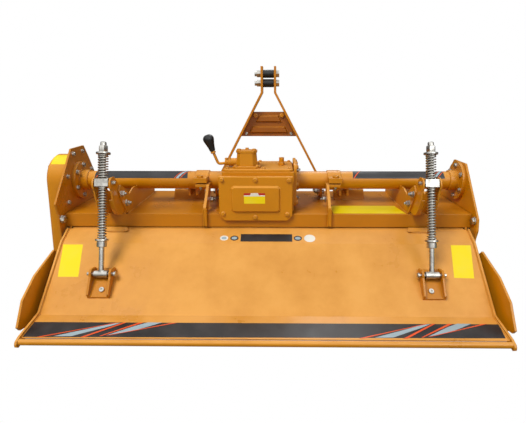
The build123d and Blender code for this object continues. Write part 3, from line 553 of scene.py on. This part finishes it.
def springRod(side, sign):
    up = Vector(joints[f"{side}_rod_slide"]["axis"])
    block = Vector(joints[f"{side}_block_swivel"]["pos_m"])
    matrix = frameAt(block, up)
    toEye = -math.hypot(eyes.y - block.y, eyes.z - block.z) / mm
    low = rodLook["blockLow"] - springLook["lowerLength"]
    high = rodLook["blockHigh"] + springLook["upperLength"]
    r = rodLook["wide"] / 2
    bore, ring, end = eyeLook["bore"] / 2, eyeLook["wide"] / 2, eyeLook["long"] / 2

    # oiled shank inside the springs
    bm = bmesh.new()
    lathe(bm, [(0, low - 8), (r, low - 8), (r, high + 1), (0, high + 1)], matrix, 32)
    addPiece(f"rodShank{side.title()}", bm, "oiled", f"{side}_rod")

    bm = bmesh.new()
    lathe(bm, [(0, toEye + 12), (r, toEye + 12), (r, low - 7), (0, low - 7)], matrix, 32)
    eye = frameAt(Vector((block.x, eyes.y, eyes.z)), (1, 0, 0))
    lathe(bm, [(bore, -end), (ring - 1, -end), (ring, 1 - end), (ring, end - 1), (ring - 1, end),
               (bore, end), (bore, -end)], eye, 36)
    # weld between the rod and its eye, laid on the eye's outside so that the bore stays free
    around = eyeLook["weldRing"] / 2
    angles = [math.tau * k / 24 for k in range(25)]
    seam = [(around * math.cos(a), around * math.sin(a)) for a in angles]
    bead = [matrix @ (Vector((x, y, toEye + math.sqrt(ring ** 2 - y ** 2))) * mm) for x, y in seam]
    rod(bm, bead, eyeLook["weldWide"] / 2, 6)
    # washer and nut under the lower spring
    lathe(bm, [(r, low - 6.5), (24.5, low - 6.5), (25, low - 6), (25, low - 1), (24.5, low),
               (r, low)], matrix, 36)
    lathe(bm, [(r, low - 31), (17, low - 31), (18.5, low - 29), (18.5, low - 9), (17, low - 7),
               (r, low - 7)], matrix, 32)
    # washer, tall nut and rounded stud end above the upper spring
    lathe(bm, [(r, high), (26.5, high), (27, high + 0.6), (27, high + 6.4), (26.5, high + 7),
               (r, high + 7)], matrix, 36)
    hexagon(bm, matrix, high + 7, rodLook["nutTall"], rodLook["nutSize"])
    stud, top = rodLook["studWide"] / 2, high + rodLook["top"]
    lathe(bm, [(0, high + 30), (stud, high + 30), (stud, top - 4), (stud - 1.2, top - 1.6),
               (stud - 4, top), (0, top + 0.4)], matrix, 28)
    made = addPiece(f"springRod{side.title()}", bm, "zinc", f"{side}_rod")
    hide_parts(f"spring_rod_{side}")

    bm = bmesh.new()
    coil(bm, matrix, rodLook["blockHigh"], springLook["upperLength"], springLook["upperWide"],
         springLook["upperTurns"])
    made = addPiece(f"upperSpring{side.title()}", bm, "zinc", f"{side}_block", 60)
    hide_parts(f"upper_spring_{side}")

    bm = bmesh.new()
    coil(bm, matrix, low, springLook["lowerLength"], springLook["lowerWide"],
         springLook["lowerTurns"])
    made = addPiece(f"lowerSpring{side.title()}", bm, "zinc", f"{side}_block", 60)
    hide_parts(f"lower_spring_{side}")
    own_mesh(made)

    # pin ends: a big head towards the machine's middle, a flat ring outside
    bm = bmesh.new()
    inside, outside = rodLook["x"] - eyeLook["headIn"], rodLook["x"] + eyeLook["ringOut"]
    inner = frameAt(spot(sign * inside, *eyeLook["place"]), (-sign, 0, 0))
    lathe(bm, [(0, -6), (9, -6), (10.5, -4.5), (10.5, 0), (9, 2), (0, 2.6)], inner, 24)
    outer = frameAt(spot(sign * outside, *eyeLook["place"]), (sign, 0, 0))
    lathe(bm, [(0, 0), (9, 0), (9, 2), (0, 2)], outer, 24)
    addPiece(f"eyePinEnds{side.title()}", bm, "zinc", "board")


for sideName, sideSign in (("left", -1), ("right", 1)):
    springRod(sideName, sideSign)
print("spring rods ready")

# in mm: the knob's foot, which way it leans, and its outline as (radius, height)
knobLook = {"foot": (-233, -100, 146), "lean": (-22, 0, 68), "sides": 36,
            "outline": [(0, -1), (9, -1), (11.5, 1), (12.5, 6), (14, 16), (17, 28), (20.5, 40),
                        (22.8, 48), (23.2, 54), (21.8, 60), (18, 66), (11, 70.5), (5, 71.5),
                        (0, 71.5)]}
# points (x, z) along the bent lever; steps and rounds say how smoothly it is drawn
leverLook = {"points": [(-128, 97), (-176, 95), (-196, 92.4), (-205, 92), (-211, 95), (-214.5, 100),
                        (-233, 146)],
             "y": -100, "wide": 12, "steps": 6, "rounds": 6, "lockNut": 12}
clampLook = {"x": -156, "z": 97, "axis": (-1, 0, 0.04), "screwsAlong": (5, 20), "screwZ": 111,
             "screwSize": 7}


def gearLever():
    foot = spot(*knobLook["foot"])
    bm = bmesh.new()
    lathe(bm, knobLook["outline"], frameAt(foot, knobLook["lean"]), knobLook["sides"])
    made = addPiece("knob", bm, "blackPlastic", creaseDegrees=50)
    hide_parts("shift_knob")

    points = [spot(x, leverLook["y"], z) for x, z in leverLook["points"]]
    smooth = []
    for a, b in zip(points, points[1:]):
        smooth += [a.lerp(b, k / leverLook["steps"]) for k in range(leverLook["steps"])]
    smooth.append(points[-1])
    for _ in range(leverLook["rounds"]):
        inner = [(a + b * 2 + c) / 4 for a, b, c in zip(smooth, smooth[1:], smooth[2:])]
        smooth = [smooth[0], *inner, smooth[-1]]
    bm = bmesh.new()
    rod(bm, smooth, leverLook["wide"] / 2, 14)
    # lock nut under the knob
    hexagon(bm, frameAt(foot, knobLook["lean"]), -10, 8, leverLook["lockNut"])
    made = addPiece("lever", bm, "castPaint", creaseDegrees=50)
    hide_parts("shift_lever")

    # round clamp with a waist that ties the lever to the tower's pivot, and its two screws
    bm = bmesh.new()
    y = leverLook["y"]
    pivot = frameAt(spot(clampLook["x"], y, clampLook["z"]), clampLook["axis"])
    lathe(bm, [(0, 0), (14, 0), (15, 1), (15, 9), (12, 11), (12, 15), (14, 17), (14, 24), (12.5, 26),
               (0, 26)], pivot, 24)
    for along in clampLook["screwsAlong"]:
        on = frameAt(spot(clampLook["x"] - along, y, clampLook["screwZ"]), (0, 0, 1))
        headFastener(bm, on, clampLook["screwSize"], 0.4)
    addPiece("leverClamp", bm, "castPaint")


gearLever()
print("gear lever ready")

# the trailing board's outside in section, (y, z) from its hinge to its lip, in mm
boardLine = ((-190, -173), (-263, -211), (-487, -414), (-606, -434))


def boardPlane(first, lift=0):
    # x across the machine, y down the board's slope from one of its bends, z out of the sheet
    (y0, z0), (y1, z1) = boardLine[first], boardLine[first + 1]
    down = Vector((0, y1 - y0, z1 - z0)).normalized()
    out = down.cross(Vector((1, 0, 0)))
    made = Matrix(((1, 0, 0), down, out)).transposed().to_4x4()
    made.translation = spot(0, y0, z0) + out * lift * mm
    return made


def oval(x, y, wide, tall, count=32):
    return [(x + wide * math.cos(math.tau * k / count), y + tall * math.sin(math.tau * k / count))
            for k in range(count)]


filmLook = {"thick": 0.25, "gap": 0.05}  # in mm; the gap keeps the lowest film clear of the sheet
# pale flashes and their orange outlines on the stripe: x and the way down the lip, in mm
flash = {
    "grey": [[(-735, 113), (-672, 112), (-560, 62), (-522, 42), (-548, 45), (-610, 68)],
             [(-549, 106), (-461, 82), (-374, 39), (-425, 39), (-470, 60)]],
    "orange": [[(-791, 117), (-774, 117), (-530, 41), (-538, 41)],
               [(-639, 117), (-624, 117), (-502, 40), (-514, 40)],
               [(-575, 111), (-568, 111), (-440, 40), (-458, 40)],
               [(-552, 109), (-540, 107), (-318, 40), (-336, 40)]],
}
flashShift = (1118, -3)  # the right-hand set from the left-hand one
slashes = {name: rows + [[(x + flashShift[0], y + flashShift[1]) for x, y in row] for row in rows]
           for name, rows in flash.items()}
films = {
    # name: finish, which part of the board, layer, outlines
    "boardStripe": ("blackFilm", 2, 0, [[(-846, 40), (842, 38), (832, 109), (-838, 117)]]),
    "boardStripeGrey": ("greyFilm", 2, 1, slashes["grey"]),
    "boardStripeOrange": ("orangeFilm", 2, 2, slashes["orange"]),
    "boardLabels": ("yellowFilm", 1, 0, [[(-836, 8), (-755, 8), (-737, 150), (-818, 150)],
                                         [(749, 5), (829, 5), (808, 149), (731, 147)]]),
    "ratingPlate": ("blackFilm", 0, 0, [[(-109, 30), (105, 30), (105, 72), (-109, 72)]]),
    "roundStickersWhite": ("whiteFilm", 0, 0, [oval(-178, 53, 17, 14), oval(177, 53, 23, 21)]),
    "roundStickersDark": ("blackFilm", 0, 0, [oval(-135, 53, 17, 14), oval(128, 53, 17, 14)]),
    "roundStickersMarks": ("greyFilm", 0, 1, [oval(-178, 53, 10, 8), oval(-135, 53, 12, 8),
                                              oval(128, 53, 12, 8)]),
}


def addFilm(name, finishName, plane, layer, outlines, body="frame"):
    bm = bmesh.new()
    for outline in outlines:
        slab(bm, outline, plane, filmLook["thick"], layer * filmLook["thick"] + filmLook["gap"])
    addPiece(name, bm, finishName, body)


for name, (finishName, first, layer, outlines) in films.items():
    addFilm(name, finishName, boardPlane(first), layer, outlines, "board")

deckPlane = Matrix.Translation(spot(0, 0, -110))
coverPlane = frameAt(spot(0, -204, 0), (0, -1, 0))
flatFilms = {
    # name: finish, plane, layer, outlines
    "deckStrip": ("yellowFilm", deckPlane, 0, [[(280, -166), (588, -166), (570, -42), (280, -42)]]),
    "gearboxLabel": ("yellowFilm", coverPlane, 0, [[(-95, -58), (-8, -58), (-8, -13), (-95, -13)]]),
    "gearboxLabelTop": ("whiteFilm", coverPlane, 1, [[(-95, -27), (-8, -27), (-8, -13), (-95, -13)]]),
    "gearboxLabelBar": ("redFilm", coverPlane, 2, [[(-95, -22), (-70, -22), (-66, -13), (-95, -13)],
                                                  [(-8, -22), (-33, -22), (-37, -13), (-8, -13)]]),
}
for name, (finishName, plane, layer, outlines) in flatFilms.items():
    addFilm(name, finishName, plane, layer, outlines)
print("flat films ready")


def wrap(bm, corners, radius, steps=14):
    # a film on the tube, from its corners (x, degrees above the level rear):
    # low left, low right, high right, high left
    grid = []
    for i in range(steps + 1):
        row = []
        for k in range(steps + 1):
            s, t = k / steps, i / steps
            low = [corners[0][n] + (corners[1][n] - corners[0][n]) * s for n in (0, 1)]
            high = [corners[3][n] + (corners[2][n] - corners[3][n]) * s for n in (0, 1)]
            x, degrees = [low[n] + (high[n] - low[n]) * t for n in (0, 1)]
            angle = math.radians(degrees)
            row.append(bm.verts.new(spot(x, -radius * math.cos(angle), radius * math.sin(angle))))
        grid.append(row)
    for a, b in zip(grid, grid[1:]):
        for k in range(steps):
            bm.faces.new((a[k], a[k + 1], b[k + 1], b[k]))


# in mm and degrees above the level rear; the slanted lines stop short of the band's upper edge
bandLook = {"radius": 40.25, "low": 22, "high": 118, "slant": 4, "linesHigh": 108}
bands = {"Left": (-781, -361), "Right": (379, 788)}
for side, (start, end) in bands.items():
    low, high, slant = bandLook["low"], bandLook["high"], bandLook["slant"]
    bm = bmesh.new()
    corners = [(start, low), (end, low), (end - slant, high), (start + slant, high)]
    wrap(bm, corners, bandLook["radius"])
    addPiece(f"tubeBand{side}", bm, "blackFilm", creaseDegrees=70)
    # name: finish, height over the band, lines as (x, thickness, lean) in mm
    marks = {
        "Lines": ("orangeFilm", 0.5, ((start + 2, 5, 40), (end - 62, 4, 52), (end - 36, 4, 50))),
        "Flash": ("greyFilm", 0.25, ((end - 54, 12, 50),)),
    }
    for markName, (finishName, lift, lines) in marks.items():
        bm = bmesh.new()
        top = bandLook["linesHigh"]
        for x, thick, lean in lines:
            wrap(bm, [(x, low), (x + thick, low), (x + thick + lean, top), (x + lean, top)],
                 bandLook["radius"] + lift)
        addPiece(f"tubeBand{side}{markName}", bm, finishName, creaseDegrees=70)

# in mm and degrees: a blank sticker round the gear case's top
caseStickerLook = {"radius": 118.3, "x": (-945, -874), "start": 46, "span": 34, "steps": 16}


def caseSticker():
    radius, steps = caseStickerLook["radius"], caseStickerLook["steps"]
    bm = bmesh.new()
    rows = []
    for k in range(steps + 1):
        a = math.radians(caseStickerLook["start"] + caseStickerLook["span"] * k / steps)
        rows.append([bm.verts.new(spot(x, -radius * math.cos(a), radius * math.sin(a)))
                     for x in caseStickerLook["x"]])
    for a, b in zip(rows, rows[1:]):
        bm.faces.new((a[0], a[1], b[1], b[0]))
    addPiece("caseSticker", bm, "yellowFilm", creaseDegrees=70)


caseSticker()
print("curved films ready")

# radius and step in mm; ripple and beat are shares of the radius
weldLook = {"radius": 2.6, "step": 3.0, "ripple": 0.22, "rippleScale": 90, "beat": 0.12}


def weld(bm, points):
    # a bead along points in metres, rippled as it was laid
    fine = []
    for a, b in zip(points, points[1:]):
        count = max(1, int((b - a).length / mm / weldLook["step"]))
        fine += [a.lerp(b, k / count) for k in range(count)]
    fine.append(points[-1])
    radii = []
    for i, p in enumerate(fine):
        uneven = weldLook["ripple"] * noise.noise(p * weldLook["rippleScale"])
        beat = weldLook["beat"] if i % 2 else -weldLook["beat"]
        radii.append(weldLook["radius"] * (1 + uneven + beat))
    rod(bm, fine, radii, 6)


def roundTube(x, radius, start=0, end=360, count=40):
    return [spot(x, radius * math.cos(a), radius * math.sin(a))
            for a in (math.radians(start + (end - start) * k / count) for k in range(count + 1))]


def straight(low, high):
    return [spot(*low), spot(*high)]


deckZ = -110  # the hood's upper face
onTube = 41  # a bead's radius round the cross tube
sides = (-1, 1)
# each weld by the piece that it holds, as a list of paths
welds = {
    "tubeWelds": [roundTube(sign * x, radius)
                  for sign in sides for x, radius in ((814, onTube), (848, 47))],
    "gussetWelds": [straight((sign * x, -160, deckZ), (sign * x, 210, deckZ))
                    for sign in sides for x in (594, 678)],
    "gussetTubeWelds": [roundTube(sign * x, onTube, 205, 318) for sign in sides for x in (594, 678)],
    "hangerWelds": [straight((sign * x, -192, -162), (sign * x, -192, -86))
                    for sign in sides for x in (256, 268)],
    "saddleWelds": [roundTube(sign * x, onTube, 60, 170) for sign in sides for x in (267, 325)],
    "bracketWelds": [straight((sign * x, 85, deckZ), (sign * x, 125, deckZ))
                     for sign in sides for x in (312, 456)]
                    + [straight((x, y, deckZ), (x + 144, y, deckZ))
                       for x in (-456, 312) for y in (85, 125)],
    "gearboxCollarWelds": [roundTube(-203, onTube), roundTube(137, onTube)],
}
for name, paths in welds.items():
    bm = bmesh.new()
    for path in paths:
        weld(bm, path)
    addPiece(name, bm, "sheetPaint", creaseDegrees=80)

# in mm: where the board's end welds run, the pads over its leaves, and the clevises' bolts
boardTrim = {"weldX": 841.5, "weldLift": 0.5, "padThick": 3, "padLift": 4.5,
             "pad": [(-40, -4), (48, -4), (44, 16), (38, 20), (-46, 20), (-49, 12)],
             "boltX": 628, "boltDown": 206, "boltLift": 8, "boltSize": 10}


def trimBoard():
    bm = bmesh.new()
    for sign in sides:
        for bend, nextBend in zip(boardLine, boardLine[1:]):
            weld(bm, [spot(sign * boardTrim["weldX"], y, z + boardTrim["weldLift"])
                      for y, z in (bend, nextBend)])
    addPiece("boardWelds", bm, "sheetPaint", "board", 80)

    bm = bmesh.new()
    for sign in sides:
        outline = [(sign * (rodLook["x"] + x), y) for x, y in boardTrim["pad"]]
        slab(bm, outline, boardPlane(0), boardTrim["padThick"], boardTrim["padLift"])
    addPiece("boardLeafPads", bm, "sheetPaint", "board")

    bm = bmesh.new()
    for sign in sides:
        place = Vector((sign * boardTrim["boltX"], boardTrim["boltDown"], boardTrim["boltLift"])) * mm
        socketFastener(bm, boardPlane(1) @ Matrix.Translation(place), boardTrim["boltSize"], 0.3)
    addPiece("clevisBolts", bm, "zinc", "board")


trimBoard()
print("welds ready")

light = {
    # name: place and aim in metres, power in watts, size in metres
    "keyLamp": ((-2.6, -3.7, 6.0), (0, -0.1, 0.45), 425, 2.8),
    "fillLamp": ((2.6, -3.8, 3.2), (0, 0, 0.5), 60, 2.6),
    "rimLamp": ((0.3, 2.2, 3.2), (0, 0, 0.7), 30, 1.6),
}
# strengths: as seen, as mirrored high up and low down, and as it lights the machine
worldLook = {"seen": 1.0, "mirroredHigh": 1.55, "mirroredLow": 0.1, "soft": 0.2,
             "brightSide": (0, -0.5, 1)}
floorLook = {"half": 9, "bounce": (0.3, 0.27, 0.22, 1), "seen": 1.0}  # half its width in metres


def studio():
    scene = bpy.context.scene
    scene.view_settings.view_transform = "Standard"
    world = bpy.data.worlds.new("studio")
    scene.world = world
    world.use_nodes = True
    tree = world.node_tree
    tree.nodes.clear()
    path = addNode(tree, "ShaderNodeLightPath")
    # mirrored sky: bright overhead and on the board's side, dark low down and beyond the hood
    direction = addNode(tree, "ShaderNodeTexCoord").outputs["Generated"]
    height = addNode(tree, "ShaderNodeVectorMath", {0: direction, 1: worldLook["brightSide"]},
                     operation="DOT_PRODUCT").outputs["Value"]
    extra = ramp(tree, height, 0.1, 0.9, worldLook["mirroredLow"] - worldLook["soft"],
                 worldLook["mirroredHigh"] - worldLook["soft"])
    glossy = addNode(tree, "ShaderNodeMath", {0: path.outputs["Is Glossy Ray"], 1: extra,
                                              2: worldLook["soft"]}, operation="MULTIPLY_ADD")
    level = addNode(tree, "ShaderNodeMath", {0: path.outputs["Is Camera Ray"],
                                             1: worldLook["seen"] - worldLook["soft"],
                                             2: glossy.outputs[0]}, operation="MULTIPLY_ADD")
    sky = addNode(tree, "ShaderNodeBackground", {"Color": (1, 1, 1, 1), "Strength": level.outputs[0]})
    addNode(tree, "ShaderNodeOutputWorld", {"Surface": sky.outputs[0]})

    for name, (where, aim, power, size) in light.items():
        lamp = bpy.data.lights.new(name, "AREA")
        lamp.energy, lamp.size = power, size
        holder = bpy.data.objects.new(name, lamp)
        holder.location = where
        holder.rotation_euler = (Vector(aim) - Vector(where)).to_track_quat("-Z", "Y").to_euler()
        holder.visible_glossy = name != "keyLamp"
        scene.collection.objects.link(holder)

    # paper floor: white where it is seen, matt where it lights the machine, clear from below
    material = bpy.data.materials.new("paleFloor")
    material.use_nodes = True
    tree = material.node_tree
    tree.nodes.clear()
    path = addNode(tree, "ShaderNodeLightPath")
    matt = addNode(tree, "ShaderNodeBsdfDiffuse", {"Color": floorLook["bounce"]})
    lit = addNode(tree, "ShaderNodeEmission", {"Color": (1, 1, 1, 1), "Strength": floorLook["seen"]})
    mixed = addNode(tree, "ShaderNodeMixShader", {0: path.outputs["Is Camera Ray"],
                                                  1: matt.outputs[0], 2: lit.outputs[0]})
    under = addNode(tree, "ShaderNodeNewGeometry").outputs["Backfacing"]
    clear = addNode(tree, "ShaderNodeBsdfTransparent")
    oneWay = addNode(tree, "ShaderNodeMixShader", {0: under, 1: mixed.outputs[0],
                                                   2: clear.outputs[0]})
    addNode(tree, "ShaderNodeOutputMaterial", {"Surface": oneWay.outputs[0]})
    mesh = bpy.data.meshes.new("studioFloor")
    half = floorLook["half"]
    mesh.from_pydata([(-half, -half, 0), (half, -half, 0), (half, half, 0), (-half, half, 0)], [],
                     [(0, 1, 2, 3)])
    mesh.materials.append(material)
    floor = bpy.data.objects.new("studioFloor", mesh)
    scene.collection.objects.link(floor)


camera = {
    "behindTube": 1.870,  # along -Y from the cross tube's axis, in metres
    "aboveTube": 0.385,
    "aside": 0.053,
    "pitchDown": 15.21,  # degrees
    "turn": 0.715,
    "roll": -0.04,
    "lens": 28.53,
    "shiftX": -0.0224,
    "shiftY": -0.0104,
}


def makeCamera():
    data = bpy.data.cameras.new("camera")
    data.lens = camera["lens"]
    data.shift_x, data.shift_y = camera["shiftX"], camera["shiftY"]
    data.clip_start = 0.02
    eye = bpy.data.objects.new("camera", data)
    eye.location = (camera["aside"], tube.y - camera["behindTube"], tube.z + camera["aboveTube"])
    turn = Matrix.Rotation(math.radians(camera["turn"]), 4, "Z")
    pitch = Matrix.Rotation(math.radians(90 - camera["pitchDown"]), 4, "X")
    roll = Matrix.Rotation(math.radians(camera["roll"]), 4, "Z")
    eye.rotation_euler = (turn @ pitch @ roll).to_euler()
    bpy.context.scene.collection.objects.link(eye)
    bpy.context.scene.camera = eye


studio()
makeCamera()
print("studio and camera ready")
